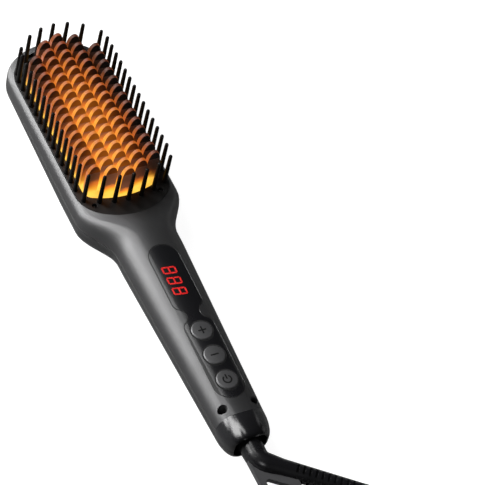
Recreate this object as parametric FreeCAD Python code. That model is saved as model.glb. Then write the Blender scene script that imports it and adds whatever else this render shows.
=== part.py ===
import FreeCAD, Part
import math
import os

# Hair straightening brush: a paddle head with a heated comb, a hand grip with a display and
# three buttons, and a swivelling cord boot. It lies on its back. X runs across the brush,
# Y runs from the grip to the tip of the head, Z points the way the bristles point.
# The origin is on the flat of the back, where the head begins.

os.makedirs("parts", exist_ok=True)
V = FreeCAD.Vector
overrun = 1.0
peg_sides = 8
round_sides = 16

# Lengths along the brush
head_length = 125.0
neck_length = 38.0
grip_length = 114.0
cap_length = 14.0
flare_length = 30.0
neck_steps = 12

# Casing sections
head_width = 62.0
head_crown_margin = 6.0
head_corner_radius = 20.0
head_front_height = 11.0
head_front_round = 4.4
head_rear_round = 8.5
head_back_rise = 6.0
head_flat_length = 22.0
seam_margin = 0.5
grip_top_width = 36.0
grip_end_width = 29.0
grip_top_height = 16.5
grip_end_height = 12.0
grip_round = 10.6
mound_height = 17.4
rear_depth = 13.0
casing_wall = 2.4
casing_corner = 2.0
round_steps = 6
cavity_steps = 2
plan_corner_steps = 5
crown_steps = 7

# Bristle frame with its guard pins
frame_rim = 2.6
frame_crown_margin = 5.6
frame_foot_margin = 4.6
frame_corner_radius = 18.0
frame_tip_margin = 5.4
frame_foot_reach = 11.5
frame_depth = 3.1
frame_clearance = 0.15
ledge_width = 1.6
ledge_depth = 2.4
pin_inset = 1.7
pin_pitch = 6.5
pin_first = 15.0
side_pin_margin = 25.0
pin_length = 22.5
pin_root_diameter = 2.5
pin_tip_diameter = 2.0
pin_tip_round = 0.6
pin_foot_diameter = 3.2
pin_foot_height = 0.9
pin_sides = 6
end_pin_pairs = 3
end_pin_margin = 3.2
crown_pin_bow = 3.6
foot_pin_bow = 28.6
foot_pin_reach = 0.5
crown_pin_margin = 7.6
port_diameter = 3.0
port_margin = 7.8
port_reach = 1.2

# Heated comb
pin_band = 5.4
comb_crown_margin = 4.0
comb_corner_radius = 6.0
comb_foot_margin = 29.0
comb_tip_margin = 11.0
comb_foot_reach = 3.4
comb_flange_width = 1.3
comb_flange_depth = 2.0
comb_land_drop = 0.8
comb_clearance = 0.3
tooth_pitch = 6.5
tooth_column_pairs = 2
tooth_first = 6.5
tooth_width = 7.8
tooth_thickness = 3.1
tooth_neck_thickness = 2.6
tooth_tip_thickness = 1.2
tooth_height = 21.6
tooth_arch_height = 8.0
tooth_edge_margin = 0.6
tooth_cap_height = 5.0
tooth_arch_steps = 4

# Heater stack under the comb
heater_tip_margin = 39.0
heater_thickness = 1.3
heater_middle_gap = 5.0
heater_side_gap = 0.3
heater_start = 24.0
shield_thickness = 0.8
shield_margin = 2.5
spring_thickness = 0.6
spring_rise = 0.9
spring_margin = 1.5
spring_shares = (0, 0.08, 0.2, 0.8, 0.92, 1)
spring_rise_shares = (0, 0, 1, 1, 0, 0)
boss_diameter = 5.6
boss_screw_diameter = 2.6
boss_margin = 5.4
boss_reach_low = 17.0
boss_tip_margin = 32.0
screw_head_diameter = 4.6
screw_head_height = 1.6
screw_clearance = 0.05
sensor_length = 6.0
sensor_width = 4.0
sensor_height = 2.2
sensor_gap = 1.0
fuse_length = 11.0
fuse_diameter = 2.8

# Ion generator
ion_box_length = 30.0
ion_box_width = 16.0
ion_box_height = 9.0
ion_box_start = -14.0
ion_needle_diameter = 1.2
ion_needle_length = 5.0
ion_holder_diameter = 4.0
ion_holder_height = 3.0
ion_box_corner = 2.0

# Control panel on the grip
button_names = ("power", "minus", "plus")
panel_width = 18.0
panel_waist_width = 8.4
panel_thickness = 1.2
panel_clearance = 0.08
panel_top_margin = 0.5
panel_bottom_margin = 9.5
panel_waist_share = 0.458
panel_shoulder_radius = 5.0
display_top_share = 0.1135
display_length = 22.6
display_width = 13.0
display_height = 7.6
display_clearance = 0.3
button_diameter = 12.2
button_gap = 0.3
button_rise = 0.6
button_round = 0.5
button_sides = 20
button_flange = 0.7
button_flange_depth = 0.7
button_flange_gap = 1.0
button_stem_diameter = 3.2
button_travel = 0.6
button_spacing = 16.5
first_button_share = 0.1106

# Circuit board
board_neck_reach = 3.5
board_start_margin = 13.5
board_width = 20.0
board_thickness = 1.6
board_hole_diameter = 2.4
board_post_diameter = 5.0
board_post_gap = 4.6
board_post_spread = 7.0
switch_size = 6.0
switch_height = 1.6
plunger_diameter = 3.4
plunger_reserve = 0.15
plunger_depth = 0.8
capacitor_length = 13.0
capacitor_width = 6.0
capacitor_height = 8.0
capacitor_share = 0.409
capacitor_corner = 1.5
triac_length = 10.0
triac_width = 9.0
triac_height = 4.4
triac_share = 0.8125
triac_hole_diameter = 3.0
triac_hole_offset = 2.5
part_gap = 0.1

# Casing screws at the grip end
casing_screw_reach = 19.5
casing_screw_spread = 9.6
casing_screw_diameter = 2.8
casing_screw_length = 12.0
well_diameter = 5.2
well_depth = 6.5
casing_boss_wall = 1.2
casing_boss_gap = 0.1

# End cap and swivel
cap_lip_shrink = 4.4
cap_along_shares = (0, 0.35, 0.72, 0.93, 1)
cap_shrink_shares = (0, 0.08, 0.32, 0.68, 1)
cap_mouth_diameter = 17.6
cap_mouth_depth = 4.5
mouth_sides = 24
cap_spigot_length = 1.4
cap_spigot_clearance = 0.1
cap_barrel_diameter = 13.0
cap_floor = 4.5
cap_spigot_wall = 1.4
core_diameter = 9.0
core_clearance = 0.05
core_flange_diameter = 12.0
core_flange_thickness = 1.5
core_length = 17.0
slip_ring_diameter = 9.6
slip_ring_width = 2.4
slip_ring_gap = 1.6
slip_ring_start = 1.2
slip_ring_count = 2
contact_width = 1.6
contact_thickness = 0.5
contact_gap = 0.1
contact_foot = 3.0
carrier_width = 11.6
carrier_height = 3.0

# Cord boot
boot_root_diameter = 13.8
boot_root_length = 11.0
boot_gap = 0.3
boot_bend_degrees = 53.0
boot_bend_diameter = 12.8
boot_shoulder_length = 8.0
boot_sleeve_diameter = 11.0
boot_bend_radius = 9.0
boot_tip_diameter = 8.0
boot_length = 58.0
elbow_steps = 4
cord_bore_diameter = 5.6
cord_bore_length = 52.0
slot_pitch = 3.45
slot_count = 15
slot_width = 1.3
slot_floor = 0.5
slot_first = 8.0
slot_length = 5.2
slots_around = 4
slot_turn_degrees = 90.0
core_socket = 6.0

# Hanging loop on the boot
loop_left = 6.2
loop_right = 15.0
loop_drop = 36.0
loop_leg = 3.8
loop_bar = 3.2
loop_corner = 5.0
eye_corner = 1.6
loop_thickness = 3.2

# Wiring
lead_diameter = 1.5
lead_run = 9.0
lead_sag = 0.6
lead_sides = 6
lead_rise_run = 27.0
mains_lead_spread = 4.0

# Places that several pieces share
head_half = head_width / 2
head_crown_radius = head_half + head_crown_margin
frame_half = head_half - frame_rim
comb_half = frame_half - pin_band
parting = rear_depth
face = parting + head_front_height
head_tip = head_length
grip_top = -neck_length
grip_end = grip_top - grip_length
cap_end = grip_end - cap_length
axis_height = (parting + grip_end_height) / 2
frame_underside = face - frame_depth
comb_top = face - comb_land_drop
comb_underside = frame_underside - comb_flange_depth
roof = frame_underside - ledge_depth
tooth_top = comb_top + tooth_height
tooth_split = tooth_top - tooth_cap_height
tooth_column_spacing = (comb_half - tooth_edge_margin - tooth_width / 2) / tooth_column_pairs
boss_spread = comb_half - boss_margin
boss_reach_high = head_tip - boss_tip_margin
heater_end = head_tip - heater_tip_margin
heater_outer = boss_spread - boss_diameter / 2 - heater_side_gap
heater_width = heater_outer - heater_middle_gap / 2
heater_x = (heater_outer + heater_middle_gap / 2) / 2
heater_underside = comb_underside - heater_thickness
shield_top = heater_underside - spring_thickness - spring_rise
shield_bottom = shield_top - shield_thickness
mouth_floor = cap_end + cap_mouth_depth
cap_inside = mouth_floor + cap_floor
core_start = mouth_floor - boot_gap - core_socket
core_flange_start = grip_end + boot_gap
carrier_top = casing_wall + carrier_height
ceiling = parting + mound_height + overrun
bend_angle = math.radians(boot_bend_degrees)
boot_way = V(math.sin(bend_angle), -math.cos(bend_angle), 0)
root_start = mouth_floor - boot_gap
bend_start = root_start - boot_root_length
sleeve_start = V(
    boot_bend_radius * (1 - math.cos(bend_angle)),
    bend_start - boot_bend_radius * math.sin(bend_angle),
    axis_height,
)
along = V(0, 1, 0)
up = V(0, 0, 1)


def mix(low, high, share):
    return low + (high - low) * share


def grip_share(y):
    return (y - grip_end) / grip_length


def grip_surface(y):
    return parting + mix(grip_end_height, grip_top_height, grip_share(y))


def flange_top(y):
    return grip_surface(y - button_diameter / 2 - button_flange) - casing_wall - button_flange_gap


# Places along the grip
panel_top = grip_top - panel_top_margin
panel_bottom = grip_end + panel_bottom_margin
panel_length = panel_top - panel_bottom
display_foot = panel_top - panel_length * display_top_share - display_length
first_button_y = panel_bottom + panel_length * first_button_share
last_button_y = first_button_y + button_spacing * (len(button_names) - 1)
display_level = grip_surface(display_foot) - panel_thickness - display_clearance - display_height
plunger_rise = button_travel + plunger_reserve
switch_level = flange_top(first_button_y) - button_flange_depth - plunger_rise - switch_height
board_top = min(display_level, switch_level)
board_bottom = board_top - board_thickness
board_start = grip_end + board_start_margin
board_end = grip_top + board_neck_reach
board_post_y = display_foot - board_post_gap
switch_top = board_top + switch_height
plunger_top = switch_top + plunger_rise
screw_y = cap_end + casing_screw_reach


def box(x0, y0, z0, x1, y1, z1):
    return Part.makeBox(x1 - x0, y1 - y0, z1 - z0, V(x0, y0, z0))


def rod(diameter, length, x, y, z, axis=up):
    return Part.makeCylinder(diameter / 2, length, V(x, y, z), axis)


def arc(start, middle, end):
    return Part.Arc(start, middle, end).toShape()


def line(start, end):
    return Part.LineSegment(start, end).toShape()


def polygon(points):
    return Part.makePolygon(points + points[:1])


def prism(wire, bottom, top):
    face_shape = Part.Face(wire)
    face_shape.translate(V(0, 0, bottom))
    return face_shape.extrude(V(0, 0, top - bottom))


def corners_round(diameter, sides, z):
    turns = [math.tau * step / sides for step in range(sides)]
    return [V(diameter / 2 * math.cos(turn), diameter / 2 * math.sin(turn), z) for turn in turns]


def peg(diameter, length, x, y, z, sides=peg_sides):
    # A rod with flat sides: few for what stays out of sight, more for what shows.
    shape = prism(polygon(corners_round(diameter, sides, 0)), z, z + length)
    shape.translate(V(x, y, 0))
    return shape


def solid_of(faces):
    shell = Part.makeShell(faces)
    shell.sewShape()
    solid = Part.makeSolid(shell)
    if solid.Volume < 0:
        solid.reverse()
    return solid


def stacked(rings, ends=None):
    # A solid through rings of points, with flats from each ring to the next.
    faces = [Part.Face(polygon(points)) for points in ends or (rings[0], rings[-1])]
    for lower, upper in zip(rings, rings[1:]):
        for step in range(len(lower)):
            faces.append(Part.Face(polygon([lower[step - 1], lower[step], upper[step]])))
            faces.append(Part.Face(polygon([lower[step - 1], upper[step], upper[step - 1]])))
    return solid_of(faces).removeSplitter()


def quarter(steps):
    # The run and the rise of a quarter turn, as shares of its radius.
    turns = [math.pi / 2 * step / steps for step in range(steps + 1)]
    return [(1 - math.cos(turn), 1 - math.sin(turn)) for turn in turns]


def section_points(y, half_width, height, corner, side, steps):
    # Up one flank from the parting plane, round a corner, across, round again and down.
    right = [(half_width, parting)]
    for run, rise in quarter(steps):
        right.append((half_width - corner * run, parting + side * (height - corner * rise)))
    return [V(x, y, z) for x, z in right] + [V(-x, y, z) for x, z in right[::-1]]


def ring_at(centre, way, diameter, sides):
    across = up.cross(way)
    turns = [math.tau * step / sides for step in range(sides)]
    return [centre + (across * math.cos(turn) + up * math.sin(turn)) * (diameter / 2) for turn in turns]


def tube(diameter, start, end, sides):
    # A flat-sided length on the axis of the cord outlet.
    return stacked([ring_at(V(0, y, axis_height), along, diameter, sides) for y in (start, end)])


def crown_blend(half_width, crown_radius, corner_radius):
    # Height of the corner's centre above the crown's centre, and where the two arcs touch.
    across = half_width - corner_radius
    span = crown_radius - corner_radius
    rise = math.sqrt(span ** 2 - across ** 2)
    scale = crown_radius / span
    return rise, across * scale, rise * scale


def paddle(half_width, tip, crown_radius, foot, foot_crown_radius, corner_radius):
    # Closed outline in plan: straight sides and two crowned ends.
    rise, touch_x, touch_y = crown_blend(half_width, crown_radius, corner_radius)
    low_rise, low_x, low_y = crown_blend(half_width, foot_crown_radius, corner_radius)
    centre = tip - crown_radius
    low_centre = foot + foot_crown_radius
    top_corner = centre + rise
    low_corner = low_centre - low_rise
    hub = half_width - corner_radius
    top_right = V(touch_x, centre + touch_y, 0)
    top_left = V(-touch_x, centre + touch_y, 0)
    low_right = V(low_x, low_centre - low_y, 0)
    low_left = V(-low_x, low_centre - low_y, 0)
    top_turn = math.atan2(touch_y, touch_x) / 2
    low_turn = math.atan2(low_y, low_x) / 2
    top_out = corner_radius * math.cos(top_turn)
    top_up = corner_radius * math.sin(top_turn)
    low_out = corner_radius * math.cos(low_turn)
    low_up = corner_radius * math.sin(low_turn)
    edges = [
        line(V(half_width, low_corner, 0), V(half_width, top_corner, 0)),
        arc(V(half_width, top_corner, 0), V(hub + top_out, top_corner + top_up, 0), top_right),
        arc(top_right, V(0, tip, 0), top_left),
        arc(top_left, V(-hub - top_out, top_corner + top_up, 0), V(-half_width, top_corner, 0)),
        line(V(-half_width, top_corner, 0), V(-half_width, low_corner, 0)),
        arc(V(-half_width, low_corner, 0), V(-hub - low_out, low_corner - low_up, 0), low_left),
        arc(low_left, V(0, foot, 0), low_right),
        arc(low_right, V(hub + low_out, low_corner - low_up, 0), V(half_width, low_corner, 0)),
    ]
    return Part.Wire(edges)


def frame_outline(inset):
    half = frame_half - inset
    tip = head_tip - frame_tip_margin - inset
    foot = inset - frame_foot_reach
    corner = frame_corner_radius - inset
    return paddle(half, tip, half + frame_crown_margin, foot, half + frame_foot_margin, corner)


def comb_outline(inset):
    half = comb_half - inset
    tip = head_tip - comb_tip_margin - inset
    foot = comb_foot_reach + inset
    corner = comb_corner_radius - inset
    return paddle(half, tip, half + comb_crown_margin, foot, half + comb_foot_margin, corner)


def head_points(inset):
    # The head's plan: up the right side from the base, over the crown and down the left side.
    half = head_half - inset
    crown = head_crown_radius - inset
    corner = head_corner_radius - inset
    rise, touch_x, touch_y = crown_blend(half, crown, corner)
    centre = head_tip - head_crown_radius
    touch = math.atan2(touch_y, touch_x)
    right = [(half, 0), (half, head_flat_length)]
    for step in range(plan_corner_steps):
        turn = touch * step / plan_corner_steps
        right.append((half - corner + corner * math.cos(turn), centre + rise + corner * math.sin(turn)))
    for step in range(crown_steps):
        turn = mix(touch, math.pi / 2, step / crown_steps)
        right.append((crown * math.cos(turn), centre + crown * math.sin(turn)))
    return right + [(0, centre + crown)] + [(-x, y) for x, y in right[::-1]]


def head_ring(inset, z):
    return [V(x, y, z) for x, y in head_points(inset)]


def back(y):
    # Flat at the back near the base, then rising to the tip.
    return max(y - head_flat_length, 0) * head_back_rise / (head_length - head_flat_length)


def front_head():
    rings = [head_ring(0, parting)]
    for run, rise in quarter(round_steps):
        rings.append(head_ring(head_front_round * run, face - head_front_round * rise))
    return stacked(rings)


def rear_head(inset, corner, steps):
    rings = [head_ring(inset, parting)]
    for run, rise in quarter(steps):
        ring = []
        for x, y in head_points(inset + corner * run):
            low = inset + back(y)
            ring.append(V(x, y, low + rise * min(corner, parting - low - seam_margin)))
        rings.append(ring)
    flat = rings[-1][:2] + rings[-1][-2:]
    return stacked(rings, [rings[0], flat, rings[-1][1:-1]])


def neck(side, inset, head_height, head_round, rise_height, steps):
    # A flare from the head's section to the grip's.
    sections = []
    for step in range(neck_steps + 1):
        share = step / neck_steps
        y = -neck_length * share
        spread = min(-y / flare_length, 1)
        blend = (1 - math.cos(math.pi * spread)) / 2
        half = mix(head_half, grip_top_width / 2, blend) - inset
        corner = mix(head_round, grip_round - inset, blend)
        if side > 0:
            height = mix(head_height, mix(rise_height, grip_top_height - inset, share), blend)
        else:
            height = rear_depth - inset
        sections.append(section_points(y, half, height, corner, side, steps))
    return stacked(sections)


def grip_section(side, inset, y, steps):
    share = grip_share(y)
    half = mix(grip_end_width, grip_top_width, share) / 2 - inset
    height = mix(grip_end_height, grip_top_height, share) if side > 0 else rear_depth
    return section_points(y, half, height - inset, grip_round - inset, side, steps)


def grip(side, inset, start, steps):
    return stacked([grip_section(side, inset, y, steps) for y in (start, grip_top)])


def front_body():
    flare = neck(1, 0, head_front_height, head_front_round, mound_height, round_steps)
    return front_head().fuse([flare, grip(1, 0, grip_end, round_steps)]).removeSplitter()


def front_cavity():
    height = roof - parting
    head = stacked([head_ring(casing_wall, parting), head_ring(casing_wall, roof)])
    flare = neck(1, casing_wall, height, casing_corner, height, cavity_steps)
    return head.fuse([flare, grip(1, casing_wall, grip_end - overrun, cavity_steps)])


def rear_body():
    flare = neck(-1, 0, rear_depth, head_rear_round, rear_depth, round_steps)
    head = rear_head(0, head_rear_round, round_steps)
    return head.fuse([flare, grip(-1, 0, grip_end, round_steps)]).removeSplitter()


def rear_cavity():
    corner = head_rear_round - casing_wall
    flare = neck(-1, casing_wall, rear_depth, corner, rear_depth, cavity_steps)
    head = rear_head(casing_wall, corner, cavity_steps)
    return head.fuse([flare, grip(-1, casing_wall, grip_end - overrun, cavity_steps)])


def panel_outline(clearance):
    # Two lobes joined by a waist: the display above, the buttons below.
    half = panel_width / 2 + clearance
    waist = panel_waist_width / 2 + clearance
    top = panel_top + clearance
    bottom = panel_bottom - clearance
    middle = mix(last_button_y, display_foot, panel_waist_share)
    radius = panel_shoulder_radius
    turn = math.acos(1 - (half - waist) / (2 * radius))
    drop = radius * math.sin(turn)
    bow_x = radius * math.cos(turn / 2)
    bow_y = radius * math.sin(turn / 2)
    joint_x = (half + waist) / 2
    right = []
    left = []
    for mirror, edges in ((1, right), (-1, left)):
        for way in (1, -1):
            shoulder = V(mirror * half, middle + way * 2 * drop, 0)
            joint = V(mirror * joint_x, middle + way * drop, 0)
            neck = V(mirror * waist, middle, 0)
            outer_bow = V(mirror * (half - radius + bow_x), middle + way * (2 * drop - bow_y), 0)
            inner_bow = V(mirror * (waist + radius - bow_x), middle + way * bow_y, 0)
            edges.append(arc(shoulder, outer_bow, joint))
            edges.append(arc(joint, inner_bow, neck))
        edges.append(line(V(mirror * half, top - half, 0), V(mirror * half, middle + 2 * drop, 0)))
        edges.append(line(V(mirror * half, middle - 2 * drop, 0), V(mirror * half, bottom + half, 0)))
    ends = [
        arc(V(half, top - half, 0), V(0, top, 0), V(-half, top - half, 0)),
        arc(V(half, bottom + half, 0), V(0, bottom, 0), V(-half, bottom + half, 0)),
    ]
    return Part.Wire(Part.__sortEdges__(right + left + ends))


def button_places():
    return [first_button_y + button_spacing * step for step in range(len(button_names))]


def casing_screw_places():
    return [(side * casing_screw_spread, screw_y) for side in (-1, 1)]


def well_floor(x, y):
    # Depth of the screw well, measured from the curved surface above it.
    half = mix(grip_end_width, grip_top_width, grip_share(y)) / 2
    past = abs(x) - (half - grip_round)
    return grip_surface(y) - grip_round + math.sqrt(grip_round ** 2 - past ** 2) - well_depth


def front_shell(body):
    shell = body.cut(front_cavity())
    cuts = [
        prism(frame_outline(-frame_clearance), frame_underside, ceiling),
        prism(frame_outline(ledge_width), roof - overrun, frame_underside + overrun),
        panel_pocket(body),
        display_window(),
    ]
    hole = button_diameter + 2 * button_gap
    for y in button_places():
        cuts.append(peg(hole, ceiling - parting, 0, y, parting, button_sides))
    bosses = []
    for x, y in casing_screw_places():
        boss = peg(well_diameter + 2 * casing_boss_wall, ceiling - parting, x, y, parting)
        bosses.append(boss.common(body))
        cuts.append(peg(well_diameter, ceiling, x, y, well_floor(x, y), round_sides))
        cuts.append(peg(casing_screw_diameter + 2 * screw_clearance, ceiling, x, y, parting - overrun))
    return shell.fuse(bosses).cut(cuts)


def panel_pocket(body):
    return body.common(prism(panel_outline(panel_clearance), parting, ceiling)).cut(panel_backing())


def panel_backing():
    return grip(1, panel_thickness, grip_end, round_steps)


def display_window():
    across = display_width / 2 + display_clearance
    head = display_foot + display_length + display_clearance
    return box(-across, display_foot - display_clearance, board_top, across, head, ceiling)


def control_panel(body):
    panel = body.common(prism(panel_outline(0), parting, ceiling)).cut(panel_backing())
    hole = button_diameter + 2 * button_gap
    return panel.cut([peg(hole, ceiling, 0, y, parting, button_sides) for y in button_places()])


def rear_shell(body):
    shell = body.cut(rear_cavity())
    posts = []
    pilots = []
    for x, y in casing_screw_places():
        wide = casing_screw_diameter + 2 * casing_boss_wall
        posts.append(peg(wide, parting - casing_boss_gap - casing_wall, x, y, casing_wall))
        pilots.append(peg(casing_screw_diameter, parting, x, y, casing_wall))
    for x, y in board_post_places():
        posts.append(peg(board_post_diameter, board_bottom - casing_wall, x, y, casing_wall))
        pilots.append(peg(board_hole_diameter, board_bottom - casing_wall, x, y, casing_wall + overrun))
    return shell.fuse(posts).cut(pilots)


def board_post_places():
    return [(side * board_post_spread, board_post_y) for side in (-1, 1)]


def casing_screws():
    screws = []
    for x, y in casing_screw_places():
        floor = well_floor(x, y)
        head = peg(screw_head_diameter, screw_head_height, x, y, floor, round_sides)
        shank = peg(casing_screw_diameter, casing_screw_length, x, y, floor - casing_screw_length)
        screws.append(head.fuse(shank))
    return Part.Compound(screws)


def button(y):
    # A stem, a flange that keeps the button in, and a head with a broken edge.
    crown = grip_surface(y) + button_rise
    flange = button_diameter + 2 * button_flange
    top = flange_top(y)
    profile = (
        (button_stem_diameter, plunger_top), (button_stem_diameter, top - button_flange_depth),
        (flange, top - button_flange_depth), (flange, top), (button_diameter, top),
        (button_diameter, crown - button_round), (button_diameter - 2 * button_round, crown),
    )
    shape = stacked([corners_round(diameter, button_sides, z) for diameter, z in profile])
    shape.translate(V(0, y, 0))
    return shape


def plunger(y):
    return peg(plunger_diameter, plunger_rise + plunger_depth, 0, y, switch_top - plunger_depth)


def switch_bodies():
    half = switch_size / 2
    bodies = []
    for y in button_places():
        body = box(-half, y - half, board_top, half, y + half, switch_top)
        bore = peg(plunger_diameter + 2 * screw_clearance, switch_height + overrun, 0, y, board_top)
        bodies.append(body.cut(bore))
    return Part.Compound(bodies)


def main_board():
    half = board_width / 2
    board = box(-half, board_start, board_bottom, half, board_end, board_top)
    hole = board_hole_diameter + 2 * screw_clearance
    depth = board_thickness + 2 * overrun
    return board.cut([peg(hole, depth, x, y, board_bottom - overrun) for x, y in board_post_places()])


def board_screws():
    screws = []
    for x, y in board_post_places():
        head = peg(screw_head_diameter, screw_head_height, x, y, board_top)
        shank = peg(board_hole_diameter, casing_screw_length, x, y, board_top - casing_screw_length)
        screws.append(head.fuse(shank))
    return Part.Compound(screws)


def display_module():
    half = display_width / 2
    top = board_top + display_height
    return box(-half, display_foot, board_top, half, display_foot + display_length, top)


def under_board(width, length, height, share):
    y = mix(board_start, board_end, share)
    return box(-width / 2, y - length / 2, board_bottom - height, width / 2, y + length / 2, board_bottom)


def film_capacitor():
    block = under_board(capacitor_width, capacitor_length, capacitor_height, capacitor_share)
    upright = [edge for edge in block.Edges if edge.BoundBox.ZLength > overrun]
    return block.makeChamfer(capacitor_corner, upright)


def triac():
    block = under_board(triac_width, triac_length, triac_height, triac_share)
    y = mix(board_start, board_end, triac_share) + triac_hole_offset
    return block.cut(peg(triac_hole_diameter, triac_height, 0, y, board_bottom - triac_height))


def bristle_frame():
    plate = prism(frame_outline(0), frame_underside, face)
    window = prism(comb_outline(-comb_clearance), frame_underside - overrun, face + overrun)
    depth = frame_depth + 2 * overrun
    low = frame_underside - overrun
    ports = [peg(port_diameter, depth, x, y, low, round_sides) for x, y in port_places()]
    return plate.cut([window] + ports)


def port_places():
    return [(side * (frame_half - port_margin), port_reach) for side in (-1, 1)]


def pin_places():
    # A row along each side, and a bowed row across each end.
    places = []
    half = frame_half - pin_inset
    side_count = int((head_tip - side_pin_margin - pin_first) / pin_pitch) + 1
    for side in (-1, 1):
        for step in range(side_count):
            places.append((side * half, pin_first + pin_pitch * step))
    spacing = (frame_half - end_pin_margin) / end_pin_pairs
    crown = frame_half + crown_pin_bow
    foot = frame_half + foot_pin_bow
    for step in range(-end_pin_pairs, end_pin_pairs + 1):
        x = spacing * step
        places.append((x, head_tip - crown_pin_margin - crown + math.sqrt(crown ** 2 - x ** 2)))
        places.append((x, foot_pin_reach + foot - math.sqrt(foot ** 2 - x ** 2)))
    return places


def guard_pins():
    # Tapered pins with blunt tips, each on a wider foot.
    top = face + pin_length
    pin = stacked([
        corners_round(pin_foot_diameter, pin_sides, face),
        corners_round(pin_root_diameter, pin_sides, face + pin_foot_height),
        corners_round(pin_tip_diameter, pin_sides, top - pin_tip_round),
        corners_round(pin_tip_diameter - 2 * pin_tip_round, pin_sides, top),
    ])
    return Part.Compound(copies(pin, pin_places()))


def comb_limit(x, radius, centre, way):
    return centre + way * math.sqrt(radius ** 2 - x ** 2)


def tooth_places():
    # Columns side by side, every second one moved on by half a pitch, within the crowned plate.
    places = []
    crown = comb_half + comb_crown_margin
    foot = comb_half + comb_foot_margin
    high_centre = head_tip - comb_tip_margin - crown
    low_centre = comb_foot_reach + foot
    room = tooth_thickness / 2
    for column in range(-tooth_column_pairs, tooth_column_pairs + 1):
        x = column * tooth_column_spacing
        outer = abs(x) + tooth_width / 2
        high = comb_limit(outer, crown - tooth_edge_margin, high_centre, 1) - room
        low = comb_limit(outer, foot - tooth_edge_margin, low_centre, -1) + room
        y = tooth_first + (tooth_pitch / 2 if column % 2 else 0)
        while y <= high:
            if y >= low:
                places.append((x, y))
            y += tooth_pitch
    return places


def tooth_outline():
    # Straight flanks under an arch that has a corner at the lower edge of the cap.
    half = tooth_width / 2
    spring = tooth_top - tooth_arch_height
    split_turn = math.asin((tooth_split - spring) / tooth_arch_height)
    step_turn = (math.pi - 2 * split_turn) / tooth_arch_steps
    turns = [0] + [split_turn + step_turn * step for step in range(tooth_arch_steps + 1)] + [math.pi]
    arch = [V(half * math.cos(turn), 0, spring + tooth_arch_height * math.sin(turn)) for turn in turns]
    return [V(half, 0, comb_top)] + arch + [V(-half, 0, comb_top)]


def tooth():
    # An arched blade seen from the front, thinned to its tip seen from the side.
    front = Part.Face(polygon(tooth_outline()))
    front.translate(V(0, -tooth_thickness, 0))
    blade = front.extrude(V(0, 2 * tooth_thickness, 0))
    levels = (
        (tooth_thickness, comb_top), (tooth_neck_thickness, tooth_split), (tooth_tip_thickness, tooth_top),
    )
    outline = [V(-tooth_width, thick / 2, z) for thick, z in levels]
    outline += [V(-tooth_width, -thick / 2, z) for thick, z in levels[::-1]]
    return blade.common(Part.Face(polygon(outline)).extrude(V(2 * tooth_width, 0, 0)))


def split_tooth():
    whole = tooth()
    cutter = box(-tooth_width, -tooth_width, tooth_split, tooth_width, tooth_width, tooth_top + overrun)
    return whole.cut(cutter), whole.common(cutter)


def copies(shape, places):
    result = []
    for x, y in places:
        copy = shape.copy()
        copy.translate(V(x, y, 0))
        result.append(copy)
    return result


def boss_places():
    return [(side * boss_spread, y) for side in (-1, 1) for y in (boss_reach_low, boss_reach_high)]


def heated_comb():
    land = prism(comb_outline(0), frame_underside, comb_top)
    flange = prism(comb_outline(-comb_flange_width), comb_underside, frame_underside)
    height = comb_underside - shield_top
    bosses = [peg(boss_diameter, height, x, y, shield_top) for x, y in boss_places()]
    pilots = [peg(boss_screw_diameter, height, x, y, shield_top) for x, y in boss_places()]
    return land.fuse([flange] + bosses).cut(pilots).removeSplitter()


def ceramic_heaters():
    half = heater_width / 2
    strip = box(-half, heater_start, heater_underside, half, heater_end, comb_underside)
    return Part.Compound(copies(strip, heater_places()))


def heater_places():
    return [(side * heater_x, 0) for side in (-1, 1)]


def heater_springs():
    # A pressed strip under each heater: feet on the shield, a flat raised against the heater.
    half = heater_width / 2 - spring_margin
    lower = []
    upper = []
    for share, rise in zip(spring_shares, spring_rise_shares):
        y = mix(heater_start, heater_end, share)
        z = shield_top + spring_rise * rise
        lower.append(V(-half, y, z))
        upper.append(V(-half, y, z + spring_thickness))
    strip = Part.Face(polygon(lower + upper[::-1])).extrude(V(2 * half, 0, 0))
    return Part.Compound(copies(strip, heater_places()))


def heat_shield():
    plate = prism(comb_outline(shield_margin), shield_bottom, shield_top)
    hole = boss_screw_diameter + 2 * screw_clearance
    depth = shield_thickness + 2 * overrun
    return plate.cut([peg(hole, depth, x, y, shield_bottom - overrun) for x, y in boss_places()])


def shield_screws():
    screws = []
    for x, y in boss_places():
        head = peg(screw_head_diameter, screw_head_height, x, y, shield_bottom - screw_head_height)
        shank = peg(boss_screw_diameter, comb_underside - shield_bottom, x, y, shield_bottom)
        screws.append(head.fuse(shank))
    return Part.Compound(screws)


def thermistor():
    half = sensor_width / 2
    start = heater_start - sensor_length - sensor_gap
    return box(-half, start, comb_underside - sensor_height, half, start + sensor_length, comb_underside)


def thermal_fuse():
    y = heater_end + sensor_gap + fuse_diameter
    z = comb_underside - fuse_diameter / 2
    ends = [V(side * fuse_length / 2, y, z) for side in (-1, 1)]
    return stacked([ring_at(centre, V(1, 0, 0), fuse_diameter, peg_sides) for centre in ends])


def ion_generator():
    half = ion_box_width / 2
    top = casing_wall + ion_box_height
    block = box(-half, ion_box_start, casing_wall, half, ion_box_start + ion_box_length, top)
    upright = [edge for edge in block.Edges if edge.BoundBox.ZLength > overrun]
    return block.makeChamfer(ion_box_corner, upright)


def ion_needles():
    needles = []
    foot = frame_underside - ion_holder_height
    for x, y in port_places():
        holder = peg(ion_holder_diameter, ion_holder_height, x, y, foot)
        needles.append(holder.fuse(peg(ion_needle_diameter, ion_needle_length, x, y, foot)))
    return Part.Compound(needles)


def cap_ring(y, inset, steps):
    # The whole section of the grip's end, moved to another place along the brush.
    front = grip_section(1, inset, grip_end, steps)
    rear = grip_section(-1, inset, grip_end, steps)
    return [V(point.x, y, point.z) for point in front + rear[-2:0:-1]]


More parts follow.
